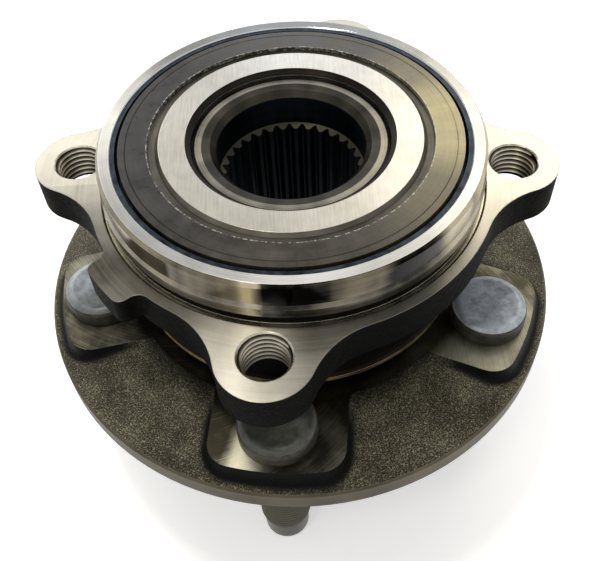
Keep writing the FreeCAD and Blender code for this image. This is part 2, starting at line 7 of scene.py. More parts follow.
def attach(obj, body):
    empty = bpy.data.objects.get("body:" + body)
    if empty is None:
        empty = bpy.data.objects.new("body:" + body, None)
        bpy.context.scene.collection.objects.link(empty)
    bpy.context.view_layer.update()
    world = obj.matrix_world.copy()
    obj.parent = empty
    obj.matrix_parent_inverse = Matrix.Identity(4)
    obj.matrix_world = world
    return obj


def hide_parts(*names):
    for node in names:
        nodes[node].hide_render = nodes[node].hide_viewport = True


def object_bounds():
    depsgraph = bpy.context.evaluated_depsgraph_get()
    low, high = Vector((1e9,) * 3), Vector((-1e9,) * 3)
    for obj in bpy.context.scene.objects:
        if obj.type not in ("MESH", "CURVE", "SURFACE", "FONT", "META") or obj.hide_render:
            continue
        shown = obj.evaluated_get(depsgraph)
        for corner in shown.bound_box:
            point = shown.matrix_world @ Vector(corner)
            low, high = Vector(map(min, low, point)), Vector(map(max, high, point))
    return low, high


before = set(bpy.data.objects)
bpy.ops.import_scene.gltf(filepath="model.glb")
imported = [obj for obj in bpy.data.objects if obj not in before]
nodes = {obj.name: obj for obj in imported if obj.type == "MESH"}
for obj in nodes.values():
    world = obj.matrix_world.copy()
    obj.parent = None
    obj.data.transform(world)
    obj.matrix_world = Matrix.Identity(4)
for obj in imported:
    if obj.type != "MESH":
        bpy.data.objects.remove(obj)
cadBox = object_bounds()
mm = 0.001
print("frame loaded:", len(nodes), "CAD nodes")


def linear(hexColour):
    # sRGB hex to the linear colour that a socket wants
    parts = [int(hexColour[i:i + 2], 16) / 255 for i in (1, 3, 5)]
    turned = [c / 12.92 if c <= 0.04045 else ((c + 0.055) / 1.055) ** 2.4 for c in parts]
    return (*turned, 1.0)


def addNode(tree, kind, settings=None, links=None):
    # Adds one node; settings name its properties or sockets, links feed its sockets
    made = tree.nodes.new(kind)
    for name, value in (settings or {}).items():
        if name == "stops":
            for index, (place, colour) in enumerate(value):
                stops = made.color_ramp.elements
                stop = stops[index] if index < len(stops) else stops.new(place)
                stop.position = place
                stop.color = linear(colour) if isinstance(colour, str) else (colour, colour, colour, 1)
        elif isinstance(name, str) and hasattr(made, name):
            setattr(made, name, value)
        else:
            made.inputs[name].default_value = value
    for name, source in (links or {}).items():
        tree.links.new(source, made.inputs[name])
    return made


def startMaterial(name, look):
    # A material with one Principled shader on its output; returns the material, its tree and the shader
    made = bpy.data.materials.new(name)
    made.use_nodes = True
    tree = made.node_tree
    tree.nodes.clear()
    shader = addNode(tree, "ShaderNodeBsdfPrincipled", look)
    addNode(tree, "ShaderNodeOutputMaterial", links={"Surface": shader.outputs["BSDF"]})
    return made, tree, shader


def feed(tree, shader, sources):
    # Links each named socket of the shader to its source
    for socket, source in sources.items():
        tree.links.new(source, shader.inputs[socket])


def axisPlace(tree):
    # Where a point lies about the hub's axis, in mm: position, direction from the axis, radius, height
    place = addNode(tree, "ShaderNodeTexCoord").outputs["Object"]
    inMm = addNode(tree, "ShaderNodeVectorMath", {"operation": "SCALE", "Scale": 1 / mm},
                   {0: place}).outputs[0]
    flat = addNode(tree, "ShaderNodeVectorMath", {"operation": "MULTIPLY", 1: (1, 1, 0)},
                   {0: inMm}).outputs[0]
    radius = addNode(tree, "ShaderNodeVectorMath", {"operation": "LENGTH"}, {0: flat})
    away = addNode(tree, "ShaderNodeVectorMath", {"operation": "NORMALIZE"}, {0: flat})
    parts = addNode(tree, "ShaderNodeSeparateXYZ", links={0: inMm})
    return inMm, away.outputs[0], radius.outputs["Value"], parts.outputs["Z"]


def angleAbout(tree, away, sign):
    # Angle about the hub's axis in radians; a sign of -1 lays the seam on the +X side
    turned = addNode(tree, "ShaderNodeVectorMath", {"operation": "SCALE", "Scale": sign}, {0: away})
    parts = addNode(tree, "ShaderNodeSeparateXYZ", links={0: turned.outputs[0]})
    return addNode(tree, "ShaderNodeMath", {"operation": "ARCTAN2"},
                   {0: parts.outputs["Y"], 1: parts.outputs["X"]}).outputs[0]


def toneByAngle(tree, away, runs, between="EASE"):
    # A tone for each direction from the axis; runs pairs degrees, from -180 to 180, with tones
    share = addNode(tree, "ShaderNodeMapRange", {"From Min": -math.pi, "From Max": math.pi},
                    {"Value": angleAbout(tree, away, 1)})
    ramp = addNode(tree, "ShaderNodeValToRGB",
                   {"stops": [((degrees + 180) / 360, tone) for degrees, tone in runs]},
                   {"Fac": share.outputs[0]})
    ramp.color_ramp.interpolation = between
    return ramp.outputs[0]


def ringNoise(tree, radius, height, scale, detail=3.0):
    # Noise that is constant round the axis, as a turning tool's marks are
    where = addNode(tree, "ShaderNodeCombineXYZ", links={"X": radius, "Y": height})
    return addNode(tree, "ShaderNodeTexNoise", {"Scale": scale, "Detail": detail, "Roughness": 0.7},
                   {"Vector": where.outputs[0]}).outputs["Fac"]


def aroundNoise(tree, away, waves, detail, roughness=0.5):
    # Noise that changes only on the way round the axis, in waves to the radian
    where = addNode(tree, "ShaderNodeVectorMath", {"operation": "SCALE", "Scale": waves}, {0: away})
    return addNode(tree, "ShaderNodeTexNoise", {"Scale": 1.0, "Detail": detail, "Roughness": roughness},
                   {"Vector": where.outputs[0]}).outputs["Fac"]


# A noise seldom leaves this span, so roughness is spread over it
noiseSpan = {"From Min": 0.3, "From Max": 0.7}
# Noise scales are in waves to the mm, so 5 draws a tool's feed of 0.2 mm; around is in waves to the radian.
# In a look, rough is the span of roughness, broad, around and smudge are shares in the tone, spread is
# where the darkest and the lightest colour lie in it, and edge is the width of a broken edge in mm.
machined = {"smudgeScale": 0.09, "runNoise": 0.25, "feedDepth": 0.02, "ringShadeWidth": 3.0, "ringShadeShare": 0.8,
            "look": {"anisotropic": 0.6, "broad": 0.4, "around": 0.4, "smudge": 0.25,
                     "spread": (0.35, 0.65), "bump": 0.25, "edge": 0.2}}


def turnedSteel(name, low, high, sizes, changes):
    # Machined steel: low and high are its darkest and lightest colour, laid along the tool's rings
    look = {**machined["look"], **changes}
    made, tree, shader = startMaterial(name, {"Metallic": 1.0, "Anisotropic": look["anisotropic"],
                                              "Anisotropic Rotation": 0.25})  # rough across the rings
    place, away, radius, height = axisPlace(tree)
    laid = radius
    if "slant" in look:  # a milling cutter's marks cross the radius at a slant, in mm to the radian
        laid = addNode(tree, "ShaderNodeMath", {"operation": "MULTIPLY_ADD", 1: look["slant"]},
                       {0: angleAbout(tree, away, -1), 2: radius}).outputs[0]
    fine = ringNoise(tree, laid, height, sizes["fine"])  # feed marks, drawn coarse enough to show
    broad = ringNoise(tree, radius, height, sizes["broad"], 1.0)
    around = aroundNoise(tree, away, sizes["around"], 2.0, 0.55)  # tool pressure changes round the axis
    if "runs" in look:  # painted light and shade: long dark and bright runs, by angle
        around = addNode(tree, "ShaderNodeMix", {"data_type": "FLOAT", 0: machined["runNoise"]},
                         {2: toneByAngle(tree, away, look["runs"]), 3: around}).outputs[0]
    smudge = addNode(tree, "ShaderNodeTexNoise",
                     {"Scale": machined["smudgeScale"], "Detail": 5.0, "Roughness": 0.6}, {"Vector": place})
    lines = addNode(tree, "ShaderNodeMix", {"data_type": "FLOAT", 0: look["broad"]}, {2: fine, 3: broad})
    tone = addNode(tree, "ShaderNodeMix", {"data_type": "FLOAT", 0: look["around"]},
                   {2: lines.outputs[0], 3: around})
    tone = addNode(tree, "ShaderNodeMix", {"data_type": "FLOAT", 0: look["smudge"]},
                   {2: tone.outputs[0], 3: smudge.outputs["Fac"]})
    tint = addNode(tree, "ShaderNodeValToRGB", {"stops": list(zip(look["spread"], (low, high)))},
                   {"Fac": tone.outputs[0]}).outputs[0]
    if "ringShadeRadius" in look:  # painted shade darkens the steel inwards of a radius, under the outer ring, in mm
        reach = addNode(tree, "ShaderNodeMapRange", {
            "From Min": look["ringShadeRadius"] - machined["ringShadeWidth"], "From Max": look["ringShadeRadius"],
            "To Min": machined["ringShadeShare"], "To Max": 0.0}, {"Value": radius})
        tint = addNode(tree, "ShaderNodeMix", {"data_type": "RGBA", 7: linear("#0d0c09")},
                       {0: reach.outputs[0], 6: tint}).outputs[2]
    rough = addNode(tree, "ShaderNodeMapRange",
                    {**noiseSpan, "To Min": look["rough"][0], "To Max": look["rough"][1]},
                    {"Value": tone.outputs[0]})
    # Sharp edges are broken by hand with a stone, which gives them a thin line of light
    broken = addNode(tree, "ShaderNodeBevel", {"samples": 6, "Radius": look["edge"] * mm})
    bump = addNode(tree, "ShaderNodeBump", {"Strength": look["bump"], "Distance": machined["feedDepth"] * mm},
                   {"Height": fine, "Normal": broken.outputs["Normal"]})
    tangent = addNode(tree, "ShaderNodeTangent", {"direction_type": "RADIAL", "axis": "Z"})
    feed(tree, shader, {"Base Color": tint, "Roughness": rough.outputs[0], "Normal": bump.outputs[0],
                        "Tangent": tangent.outputs[0]})
    return made


def grainySteel(name, colours, sizes, look):
    # Forged or blasted skin: grains of one size with pits between them, and patches of tone
    made, tree, shader = startMaterial(name, {"Metallic": look["metallic"],
                                              "Specular IOR Level": look["specular"]})
    place = axisPlace(tree)[0]
    grain = addNode(tree, "ShaderNodeTexNoise", {"Scale": sizes["grain"], "Detail": 2.0, "Roughness": 0.6},
                    {"Vector": place}).outputs["Fac"]
    pits = addNode(tree, "ShaderNodeTexVoronoi", {"Scale": sizes["pits"]}, {"Vector": place})
    patch = addNode(tree, "ShaderNodeTexNoise", {"Scale": sizes["patch"], "Detail": 3.0}, {"Vector": place})
    mixed = addNode(tree, "ShaderNodeMix", {"data_type": "FLOAT", 0: 0.35},
                    {2: grain, 3: pits.outputs["Distance"]}).outputs[0]
    tone = addNode(tree, "ShaderNodeMix", {"data_type": "FLOAT", 0: look["patch"]},
                   {2: mixed, 3: patch.outputs["Fac"]})
    tint = addNode(tree, "ShaderNodeValToRGB",
                   {"stops": list(zip(look.get("spread", (0.3, 0.5, 0.7)), colours))},
                   {"Fac": tone.outputs[0]}).outputs[0]
    if "hollow" in look:  # painted shade from the stored attribute, in corners and close to the outer ring
        hollow = addNode(tree, "ShaderNodeAttribute", {"attribute_name": "hollow"})
        tint = addNode(tree, "ShaderNodeMix", {"data_type": "RGBA", 7: linear(look["hollow"])},
                       {0: hollow.outputs["Fac"], 6: tint}).outputs[2]
    rough = addNode(tree, "ShaderNodeMapRange",
                    {**noiseSpan, "To Min": look["rough"][0], "To Max": look["rough"][1]}, {"Value": grain})
    bump = addNode(tree, "ShaderNodeBump", {"Strength": look["bump"], "Distance": look["depth"] * mm},
                   {"Height": mixed})
    feed(tree, shader, {"Base Color": tint, "Roughness": rough.outputs[0], "Normal": bump.outputs[0]})
    return made


# Rim, turned and oiled: pale grey with close rings, with painted light and shade by angle, darkest at the
# back
rimLightRuns = [(-180, 0.5), (-115, 0.5), (-85, 0.85), (-60, 0.55), (0, 0.5), (50, 0.3), (85, 0.02), (115, 0.2),
           (150, 0.5), (180, 0.5)]
rimSteel = turnedSteel("turned bearing steel, rim", "#6a6964", "#bdbbb4",
                       {"fine": 6.0, "broad": 0.8, "around": 2.2},
                       {"rough": (0.22, 0.36), "around": 0.6, "smudge": 0.2, "anisotropic": 0.7,
                        "runs": rimLightRuns})
# Ears, face turned: cream, with broad darker and lighter fans of painted highlight and shade by angle
earLightRuns = [(-180, 0.48), (-163, 0.28), (-150, 0.16), (-125, 0.28), (-110, 0.75), (-104, 1.0), (-97, 0.6),
           (-86, 0.28), (-60, 0.3), (-30, 0.5), (-8, 0.8), (4, 0.86), (40, 0.7), (73, 0.8), (150, 0.7),
           (170, 0.62), (180, 0.6)]
earSteel = turnedSteel("face turned steel, ears", "#45423a", "#d8d3c4",
                       {"fine": 3.0, "broad": 0.5, "around": 2.0},
                       {"rough": (0.3, 0.4), "around": 0.72, "smudge": 0.2, "edge": 0.35, "bump": 0.12,
                        "spread": (0.3, 0.88), "runs": earLightRuns})
# Pilot, finely turned and burnished: near mirror, with dark and bright runs of painted reflection by angle
# along the cylinder
pilotReflectionRuns = [(-180, 0.45), (-150, 0.5), (-135, 0.5), (-126.5, 0.4), (-124, 0.36), (-121.5, 0.44),
             (-118, 0.36), (-114, 0.34), (-108, 0.42), (-102.5, 1.0), (-99.5, 0.2), (-93, 0.17), (-86, 0.27),
             (-76, 0.36), (-70, 0.36), (-65, 0.27), (-60, 0.24), (-50, 0.28), (-41, 0.9), (-36, 1.0),
             (-31, 0.6), (-24, 0.8), (-18, 0.6), (60, 0.5), (140, 0.6), (180, 0.45)]
pilotSteel = turnedSteel("burnished pilot steel", "#080706", "#b5ab92",
                         {"fine": 5.0, "broad": 0.7, "around": 5.5},
                         {"rough": (0.12, 0.26), "around": 0.8, "smudge": 0.1, "spread": (0.36, 0.64),
                          "anisotropic": 0.4, "runs": pilotReflectionRuns})
# Foot of the pilot, which the burnishing roller hardly reaches: the same painted reflections by angle, greyer
# and duller
bandSteel = turnedSteel("burnished steel, pilot foot", "#2b2a28", "#a8a190",
                        {"fine": 5.0, "broad": 0.8, "around": 4.0},
                        {"rough": (0.16, 0.3), "around": 0.7, "spread": (0.36, 0.64), "runs": pilotReflectionRuns})
# Undercut for the grinding wheel: a thin bright line round the foot, a painted highlight
undercutSteel = turnedSteel("turned steel, undercut", "#8a8470", "#dcd4ba",
                            {"fine": 5.0, "broad": 0.9, "around": 6.0}, {"rough": (0.2, 0.34)})
# Chamfer of a tapped hole: a light ring round the dark thread
chamferSteel = turnedSteel("turned steel, thread chamfer", "#8d897d", "#cfcabc",
                           {"fine": 3.0, "broad": 0.9, "around": 9.0}, {"rough": (0.2, 0.34)})
# End of the outer ring: a bronze line above the flange, a painted reflection of warm light
landReflectionSteel = turnedSteel("turned steel, end land with painted reflection", "#8a744d", "#f4daa6",
                        {"fine": 4.0, "broad": 0.9, "around": 4.0}, {"rough": (0.2, 0.4), "around": 0.5})
# Groove that the light hardly enters: near black rings
grooveSteel = turnedSteel("turned steel, dark groove", "#0d0c0a", "#2a2620",
                          {"fine": 3.0, "broad": 0.8, "around": 4.0}, {"rough": (0.3, 0.5)})
# Raceways: ground to a bright, even grey
raceSteel = turnedSteel("ground race steel", "#8d8f90", "#d9dadb",
                        {"fine": 6.0, "broad": 0.8, "around": 2.0}, {"rough": (0.12, 0.2)})
# Splined bore, broached and oiled: blue black with a dull gleam
boreSteel = turnedSteel("oiled broached steel, bore", "#0a0e11", "#1a232a",
                        {"fine": 3.0, "broad": 0.5, "around": 9.0}, {"rough": (0.3, 0.5)})
# Ends of the spline's teeth: a dull brown grey that stands out from the bore
toothEndSteel = turnedSteel("broached steel, tooth ends", "#25231d", "#49453b",
                            {"fine": 3.0, "broad": 0.5, "around": 6.0}, {"rough": (0.4, 0.6)})
# Spindle's end inside its face: dark oily steel with bright edges
spindleSteel = turnedSteel("turned steel, spindle end", "#12110e", "#3f3c34",
                           {"fine": 5.0, "broad": 0.9, "around": 3.0},
                           {"rough": (0.24, 0.4), "around": 0.55, "edge": 0.25})
# Spindle's face: a plain grey ring
spindleFaceSteel = turnedSteel("faced steel, spindle end", "#4a473f", "#8a8578",
                               {"fine": 5.0, "broad": 0.9, "around": 3.0},
                               {"rough": (0.24, 0.4), "around": 0.5})
# Chamfer of the inner ring: a darker ring round the bright face
collarSteel = turnedSteel("turned steel, inner ring chamfer", "#3c3932", "#7a766a",
                          {"fine": 3.0, "broad": 0.8, "around": 4.0}, {"rough": (0.3, 0.5)})
# Flange's edge, turned but never polished: brown grey with a light corner
edgeSteel = turnedSteel("turned steel, flange edge", "#302d25", "#6a6453",
                        {"fine": 3.0, "broad": 0.7, "around": 3.0}, {"rough": (0.34, 0.5), "edge": 0.4})
# Wheel side, faced with a coarse feed: plain grey rings that show from below
wheelSideSteel = turnedSteel("face turned steel, wheel side", "#5a574e", "#99958a",
                             {"fine": 2.2, "broad": 0.5, "around": 2.0},
                             {"rough": (0.28, 0.44), "around": 0.35})
# Stud pads, milled: slanting cutter marks, with painted light and shade by angle, a painted highlight beside
# the front stud and painted shade inwards of the outer ring
padLightRuns = [(-180, 0.25), (-150, 0.18), (-113, 0.1), (-109.5, 0.15), (-106, 1.0), (-102.5, 0.8), (-99, 0.2),
           (-80, 0.15), (-40, 0.4), (-24, 0.34), (-12, 0.2), (46, 0.3), (118, 0.3), (180, 0.25)]
padSteel = turnedSteel("milled steel, stud pads", "#38352b", "#f6f2d6",
                       {"fine": 2.4, "broad": 0.35, "around": 4.0},
                       {"rough": (0.36, 0.5), "around": 0.7, "bump": 0.35, "anisotropic": 0.3, "slant": 46.0,
                        "ringShadeRadius": 49.5, "broad": 0.15, "spread": (0.36, 0.82), "runs": padLightRuns})
# Slinger, pressed from stainless sheet: a grey brown ring with a soft gleam
slingerFinish = turnedSteel("pressed stainless slinger", "#282620", "#55524a",
                            {"fine": 4.0, "broad": 0.9, "around": 5.0}, {"rough": (0.28, 0.45)})
# Forging skin left black by scale: dull, with fine pits
scaleSteel = grainySteel("black forging scale", ["#040404", "#090908", "#161512"],
                         {"grain": 1.6, "pits": 1.1, "patch": 0.12},
                         {"metallic": 0.0, "specular": 0.03, "patch": 0.3, "rough": (0.5, 0.75), "bump": 0.6,
                          "depth": 0.25})
# Shot blasted forging: olive grey grains that sparkle one by one
blastSteel = grainySteel("shot blasted forging", ["#0e0d09", "#302d23", "#8a846e"],
                         {"grain": 4.8, "pits": 3.0, "patch": 0.11},
                         {"metallic": 0.7, "specular": 0.25, "patch": 0.2, "rough": (0.34, 0.55), "bump": 0.9,
                          "depth": 0.16, "hollow": "#040403", "spread": (0.34, 0.5, 0.68)})
# Steep sides of the pads: a dark line round each pad, painted shade
padSideShadeSteel = grainySteel("shot blasted forging, pad sides in painted shade", ["#040403", "#0b0a08", "#1b1914"],
                           {"grain": 4.4, "pits": 3.4, "patch": 0.06},
                           {"metallic": 0.3, "specular": 0.2, "patch": 0.16, "rough": (0.4, 0.6), "bump": 0.6,
                            "depth": 0.16})

ground = {"marks": 2.2, "markWay": (1.0, 0.05, 0.0), "markDepth": 0.02, "around": 1.8, "smudge": 0.3,
          "edge": 0.2}


def groundFace():
    # Inner ring's end, ground between two discs: bright, with fine marks that all run one way
    made, tree, shader = startMaterial("disc ground bearing steel", {"Metallic": 1.0, "Roughness": 0.3})
    place, away = axisPlace(tree)[:2]
    drawn = addNode(tree, "ShaderNodeVectorMath", {"operation": "MULTIPLY", 1: ground["markWay"]}, {0: place})
    marks = addNode(tree, "ShaderNodeTexNoise", {"Scale": ground["marks"], "Detail": 3.0, "Roughness": 0.7},
                    {"Vector": drawn.outputs[0]}).outputs["Fac"]
    broad = aroundNoise(tree, away, ground["around"], 1.0)
    smudge = addNode(tree, "ShaderNodeTexNoise", {"Scale": ground["smudge"], "Detail": 4.0},
                     {"Vector": place})
    tone = addNode(tree, "ShaderNodeMix", {"data_type": "FLOAT", 0: 0.4}, {2: marks, 3: broad})
    tone = addNode(tree, "ShaderNodeMix", {"data_type": "FLOAT", 0: 0.2},
                   {2: tone.outputs[0], 3: smudge.outputs["Fac"]})
    colour = addNode(tree, "ShaderNodeValToRGB", {"stops": [(0.34, "#98948a"), (0.62, "#b4b0a5")]},
                     {"Fac": tone.outputs[0]})
    broken = addNode(tree, "ShaderNodeBevel", {"samples": 6, "Radius": ground["edge"] * mm})
    bump = addNode(tree, "ShaderNodeBump", {"Strength": 0.25, "Distance": ground["markDepth"] * mm},
                   {"Height": marks, "Normal": broken.outputs["Normal"]})
    feed(tree, shader, {"Base Color": colour.outputs[0], "Normal": bump.outputs[0]})
    return made


# The flash is full up to flashFull and gone at flashEnd, in mm out from the inner edge
encoder = {"rings": 1.3, "scuffs": 9.0, "smudges": 0.22, "marks": 26.0, "markWidth": 0.06, "tears": 1.1,
           "innerRadius": 34.2, "flashEnd": 0.3, "flashFull": 0.2,
           "sheenRuns": [(-180, 0.04), (-70, 0.1), (-30, 0.35), (-10, 1.0), (14, 1.0), (30, 0.5), (60, 0.15),
                   (180, 0.04)]}


def encoderRubber():
    # Magnet filled rubber: brown black, smooth from its mould, with scuffs across it; its bluish specular
    # tint is a painted sky reflection
    made, tree, shader = startMaterial("ferrite filled rubber, moulded", {
        "IOR": 1.5, "Specular IOR Level": 0.3, "Specular Tint": linear("#ecf1ff"), "Metallic": 0.12})
    place, away, radius, height = axisPlace(tree)
    rings = ringNoise(tree, radius, height, encoder["rings"])
    scuff = aroundNoise(tree, away, encoder["scuffs"], 5.0, 0.75)
    smudge = addNode(tree, "ShaderNodeTexNoise", {"Scale": encoder["smudges"], "Detail": 5.0},
                     {"Vector": place}).outputs["Fac"]
    tone = addNode(tree, "ShaderNodeMix", {"data_type": "FLOAT", 0: 0.5}, {2: rings, 3: scuff})
    tone = addNode(tree, "ShaderNodeMix", {"data_type": "FLOAT", 0: 0.45},
                   {2: tone.outputs[0], 3: smudge}).outputs[0]
    tint = addNode(tree, "ShaderNodeValToRGB",
                   {"stops": [(0.34, "#0f0d0f"), (0.52, "#1b181b"), (0.7, "#353032")]},
                   {"Fac": tone}).outputs[0]
    # A few thin marks from the assembly tool run outwards
    fanned = addNode(tree, "ShaderNodeVectorMath", {"operation": "SCALE", "Scale": encoder["marks"]},
                     {0: away})
    mark = addNode(tree, "ShaderNodeTexVoronoi", {"Scale": 1.0, "feature": "DISTANCE_TO_EDGE"},
                   {"Vector": fanned.outputs[0]})
    mark = addNode(tree, "ShaderNodeMapRange",
                   {"From Min": 0.0, "From Max": encoder["markWidth"], "To Min": 0.7, "To Max": 0.0},
                   {"Value": mark.outputs["Distance"]})
    tint = addNode(tree, "ShaderNodeMix", {"data_type": "RGBA", 7: linear("#0a0908")},
                   {0: mark.outputs[0], 6: tint}).outputs[2]
    # A painted golden sheen on one side, a painted reflection of warm light
    paintedSheen = addNode(tree, "ShaderNodeMath", {"operation": "MULTIPLY"},
                    {0: toneByAngle(tree, away, encoder["sheenRuns"]), 1: tone})
    tint = addNode(tree, "ShaderNodeMix", {"data_type": "RGBA", 7: linear("#ddcf9a")},
                   {0: paintedSheen.outputs[0], 6: tint}).outputs[2]
    # The moulding flash at the inner edge is torn and catches the light
    torn = addNode(tree, "ShaderNodeTexNoise", {"Scale": encoder["tears"], "Detail": 4.0, "Roughness": 0.8},
                   {"Vector": place})
    torn = addNode(tree, "ShaderNodeMapRange", {"From Min": 0.5, "From Max": 0.57},
                   {"Value": torn.outputs["Fac"]})
    edge = addNode(tree, "ShaderNodeMapRange", {"From Min": encoder["innerRadius"] + encoder["flashEnd"],
                                                "From Max": encoder["innerRadius"] + encoder["flashFull"]},
                   {"Value": radius})
    flash = addNode(tree, "ShaderNodeMath", {"operation": "MULTIPLY"},
                    {0: torn.outputs[0], 1: edge.outputs[0]})
    tint = addNode(tree, "ShaderNodeMix", {"data_type": "RGBA", 7: linear("#b5b2a8")},
                   {0: flash.outputs[0], 6: tint}).outputs[2]
    rough = addNode(tree, "ShaderNodeMapRange", {**noiseSpan, "To Min": 0.22, "To Max": 0.42},
                    {"Value": smudge})
    feed(tree, shader, {"Base Color": tint, "Roughness": rough.outputs[0]})
    return made


smallParts = {"fineOverPatch": 12, "bumpDepth": 0.05}


def plainFinish(name, low, high, scale, look, rough, bump=0.2, angleShade=None):
    # Small parts: two tones in soft patches with a fine bump; angleShade is a painted shade colour and its
    # share by angle
    made, tree, shader = startMaterial(name, look)
    place, away = axisPlace(tree)[:2]
    patch = addNode(tree, "ShaderNodeTexNoise", {"Scale": scale, "Detail": 6.0, "Roughness": 0.65},
                    {"Vector": place}).outputs["Fac"]
    tint = addNode(tree, "ShaderNodeValToRGB", {"stops": [(0.36, low), (0.64, high)]},
                   {"Fac": patch}).outputs[0]
    if angleShade:
        tint = addNode(tree, "ShaderNodeMix",
                       {"data_type": "RGBA", "blend_type": "MULTIPLY", 7: linear(angleShade[0])},
                       {0: toneByAngle(tree, away, angleShade[1], "LINEAR"), 6: tint}).outputs[2]
    roughness = addNode(tree, "ShaderNodeMapRange", {**noiseSpan, "To Min": rough[0], "To Max": rough[1]},
                        {"Value": patch})
    fine = addNode(tree, "ShaderNodeTexNoise", {"Scale": smallParts["fineOverPatch"] * scale, "Detail": 2.0},
                   {"Vector": place})
    bumped = addNode(tree, "ShaderNodeBump", {"Strength": bump, "Distance": smallParts["bumpDepth"] * mm},
                     {"Height": fine.outputs["Fac"]})
    feed(tree, shader, {"Base Color": tint, "Roughness": roughness.outputs[0], "Normal": bumped.outputs[0]})
    return made


def threadSteel(name, colours, look):
    # Painted light and shade: a thread's crest is painted bright and its root dark, tone by how near the
    # crest
    made, tree, shader = startMaterial(name, {**look, "Roughness": 0.34})
    place = axisPlace(tree)[0]
    crest = addNode(tree, "ShaderNodeAttribute", {"attribute_name": "crest"}).outputs["Fac"]
    patch = addNode(tree, "ShaderNodeTexNoise", {"Scale": 0.5, "Detail": 4.0}, {"Vector": place})
    mixed = addNode(tree, "ShaderNodeMix", {"data_type": "FLOAT", 0: 0.25},
                    {2: crest, 3: patch.outputs["Fac"]})
    colour = addNode(tree, "ShaderNodeValToRGB", {"stops": list(zip((0.12, 0.5, 0.85), colours))},
                     {"Fac": mixed.outputs[0]})
    fine = addNode(tree, "ShaderNodeTexNoise", {"Scale": 5.0, "Detail": 2.0}, {"Vector": place})
    bump = addNode(tree, "ShaderNodeBump", {"Strength": 0.2, "Distance": smallParts["bumpDepth"] * mm},
                   {"Height": fine.outputs["Fac"]})
    feed(tree, shader, {"Base Color": colour.outputs[0], "Normal": bump.outputs[0]})
    return made


groundSteel = groundFace()
encoderFinish = encoderRubber()
# Stud heads, zinc plated and passivated: blue grey, blotched, and browned by painted shade by angle on the
# front one
headShadeRuns = [(-180, 0.1), (-172, 0.2), (-163, 0.75), (-116, 1.0), (-80, 1.0), (-50, 0.0), (180, 0.1)]
zincFinish = plainFinish("passivated zinc plating", "#858b93", "#b1b8c1", 0.4,
                         {"Metallic": 0.35}, (0.32, 0.5), 0.3, ("#7a7868", headShadeRuns))
# Sides of the heads, rough from upsetting: a dull dark band of painted shade
zincSideFinish = plainFinish("passivated zinc, upset side", "#1d1c17", "#45433a", 0.5,
                             {"Metallic": 0.5}, (0.4, 0.6), 0.5)
# Rolled threads under zinc flake: dark grey, with painted light on the crests
threadFinish = threadSteel("zinc flake on rolled thread", ["#171611", "#3d3a31", "#5d594e"],
                           {"Metallic": 0.6})
# Cut threads: painted bright crests over painted dark roots
tappedFinish = threadSteel("tapped steel", ["#0b0a08", "#4f4a3f", "#c9c2b1"], {"Metallic": 1.0})
# Seal case, drawn from sheet: a blue black line round the encoder
caseFinish = plainFinish("deep drawn seal sheet", "#15181c", "#2f363d", 0.3, {"Metallic": 1.0}, (0.25, 0.4))
# Lips: matt black rubber
lipFinish = plainFinish("nitrile rubber, moulded", "#131313", "#212020", 0.5, {"IOR": 1.5}, (0.5, 0.7))
# Cages: cream plastic, faintly mottled by its fibres
cageFinish = plainFinish("glass filled polyamide", "#b5ab8d", "#d8cfb2", 0.4, {"IOR": 1.53}, (0.45, 0.6))
# Balls: lapped to a mirror
ballFinish = plainFinish("lapped ball steel", "#b9bcc0", "#e2e4e6", 0.2, {"Metallic": 1.0}, (0.04, 0.08),
                         0.02)
print("materials made")

turnedFace, mountingFace, rim = 10.8, 44.224, cadBox[1][2] / mm
# Heights and radii that part one finish from the next, in mm; an up says how squarely a face looks up
outerRing = {"earAngles": (-98.7, -1.0, 73.5, 171.2), "earCircle": 55.0, "earHole": 5.9, "chamferWidth": 0.9,
             "chamferDepth": 1.2, "raceRadius": 43.4, "raceLow": 20.1, "pilotLow": 50.3,
             "undercutDepth": 0.45, "undercutRadius": 47.65, "landTop": 16.25, "grooveTop": 19.95,
             "slack": 0.05, "closeSlack": 0.02, "up": 0.9}
hub = {"toothRadius": 18.2, "toothLow": 43.4, "boreLow": 2.9, "faceLow": 54.6, "endLow": 44.0,
       "endRadius": 24.1, "raceRadius": 35.5, "raceLow": 10.9, "edgeRadius": 68.3, "edgeTop": 6.7,
       "skinLow": 0.5, "skinRadius": 45.0, "closeSlack": 0.02, "toothUp": 0.5, "padUp": 0.99, "skinUp": 0.8}
innerRing = {"raceTop": 52.0, "boreRadius": 27.0, "slack": 0.05}


def paint(node, finishes, choose):
    # Gives each polygon of a CAD node the finish that choose names for the heights and radii it spans (mm)
    mesh = nodes[node].data
    mesh.materials.clear()
    names = list(finishes)
    for name in names:
        mesh.materials.append(finishes[name])
    for polygon in mesh.polygons:
        corners = [mesh.vertices[i].co / mm for i in polygon.vertices]
        heights = [corner.z for corner in corners]
        radii = [math.hypot(corner.x, corner.y) for corner in corners]
        polygon.material_index = names.index(choose({
            "low": min(heights), "high": max(heights), "inner": min(radii), "outer": max(radii),
            "place": polygon.center / mm, "up": polygon.normal.z}))


def outerRingFinish(span):
    s = outerRing
    for angle in s["earAngles"]:
        turn = math.radians(angle)
        away = math.hypot(span["place"].x - s["earCircle"] * math.cos(turn),
                          span["place"].y - s["earCircle"] * math.sin(turn))
        if away < s["earHole"] + s["chamferWidth"] and span["up"] < s["up"]:
            return "chamfer" if span["low"] > mountingFace - s["chamferDepth"] else "tapped"
    if span["low"] > rim - s["slack"]:
        return "rim"
    if span["outer"] < s["raceRadius"] and span["low"] > s["raceLow"]:
        return "race"
    if span["low"] > s["pilotLow"]:
        return "pilot"
    if span["low"] > mountingFace + s["closeSlack"]:
        return "band"
    if (span["low"] > mountingFace - s["undercutDepth"] and span["high"] < mountingFace + s["closeSlack"]
            and span["outer"] < s["undercutRadius"]):
        return "undercut"
    if span["up"] > s["up"] and span["low"] > mountingFace - s["slack"]:
        return "ear"
    if span["high"] < s["landTop"]:
        return "land"
    return "groove" if span["high"] < s["grooveTop"] else "scale"


